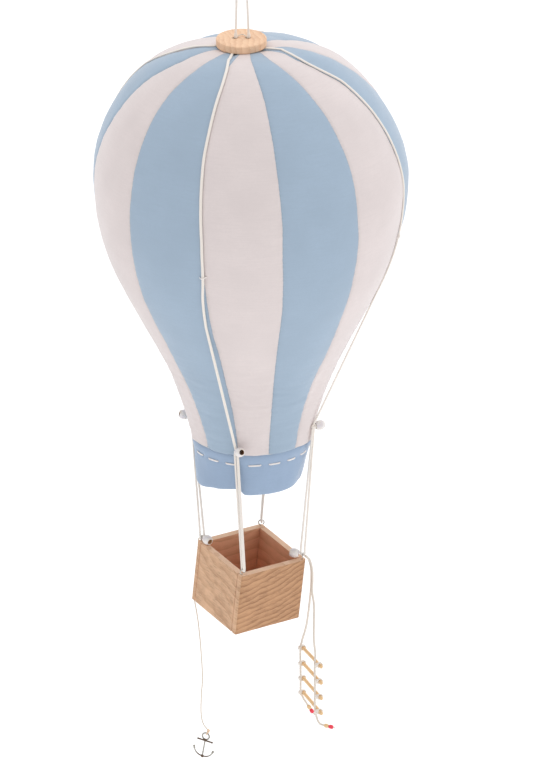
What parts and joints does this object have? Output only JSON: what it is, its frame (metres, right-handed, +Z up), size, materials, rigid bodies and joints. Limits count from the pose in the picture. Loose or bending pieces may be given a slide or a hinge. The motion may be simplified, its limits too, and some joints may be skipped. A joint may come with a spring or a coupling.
{
  "type": "toy hot air balloon",
  "caption": "Hanging toy hot air balloon: padded striped cloth envelope on cords over a square wooden basket, with an anchor on a thread and a small rope ladder.",
  "frame": {"origin": "inside of the hanging cord's loop at its top, where a ceiling hook bears", "axes": "+Z up along the hanging cord; the picture looks along +Y from a little above; +X is to its right"},
  "size_m": [0.2794, 0.2794, 0.7696],
  "materials": {
    "blue_cloth": "sky blue woven cotton, matt",
    "white_cloth": "off-white woven cotton, matt",
    "disc_wood": "pale plywood, lightly varnished",
    "basket_wood": "warm brown wood with open grain, satin varnish",
    "rung_wood": "pale smooth dowel, bare",
    "white_paint": "white paint over a turned wooden bead, satin",
    "red_paint": "red paint over a turned wooden bead, glossy",
    "cotton_cord": "off-white cotton cord, matt",
    "steel": "plated steel wire",
    "old_brass": "aged casting, brown patches over grey"
  },
  "bodies": {
    "balloon": {"anchor_cord": "cotton_cord", "anchor_tie": "cotton_cord", "basket_floor": "basket_wood", "basket_line_back": "cotton_cord", "basket_line_front": "cotton_cord", "basket_line_left": "cotton_cord", "basket_line_right": "cotton_cord", "board_back_left": "basket_wood", "board_back_right": "basket_wood", "board_front_left": "basket_wood", "board_front_right": "basket_wood", "crown_disc": "disc_wood", "crown_knot": "cotton_cord", "gore_01_white": "white_cloth", "gore_02_blue": "blue_cloth", "gore_03_white": "white_cloth", "gore_04_blue": "blue_cloth", "gore_05_white": "white_cloth", "gore_06_blue": "blue_cloth", "gore_07_white": "white_cloth", "gore_08_blue": "blue_cloth", "gore_09_white": "white_cloth", "gore_10_blue": "blue_cloth", "gore_11_white": "white_cloth", "gore_12_blue": "blue_cloth", "hanging_cord": "cotton_cord", "ladder_end_red_far": "red_paint", "ladder_end_red_near": "red_paint", "ladder_end_wood_far": "rung_wood", "ladder_end_wood_near": "rung_wood", "ladder_rope_far": "cotton_cord", "ladder_rope_near": "cotton_cord", "ladder_rung_1": "rung_wood", "ladder_rung_2": "rung_wood", "ladder_rung_3": "rung_wood", "ladder_rung_4": "rung_wood", "screw_eye_back": "steel", "screw_eye_front": "steel", "screw_eye_left": "steel", "screw_eye_right": "steel", "skirt_band": "blue_cloth", "stopper_bead_left": "white_paint", "stopper_bead_right": "white_paint", "suspension_cord_back": "cotton_cord", "suspension_cord_front": "cotton_cord", "suspension_cord_left": "cotton_cord", "suspension_cord_right": "cotton_cord", "upper_bead_back": "white_paint", "upper_bead_front": "white_paint", "upper_bead_left": "white_paint", "upper_bead_right": "white_paint", "upper_knot_back": "cotton_cord", "upper_knot_front": "cotton_cord", "upper_knot_left": "cotton_cord", "upper_knot_right": "cotton_cord"},
    "anchor": {"anchor": "old_brass"}
  },
  "joints": [
    {"name": "anchor_swing", "type": "hinge", "parent": "balloon", "child": "anchor", "pos_m": [-0.03955, 0.01173, -0.74262], "axis": [-0.342, -0.9397, 0], "range_deg": [-50, 50]}
  ]
}
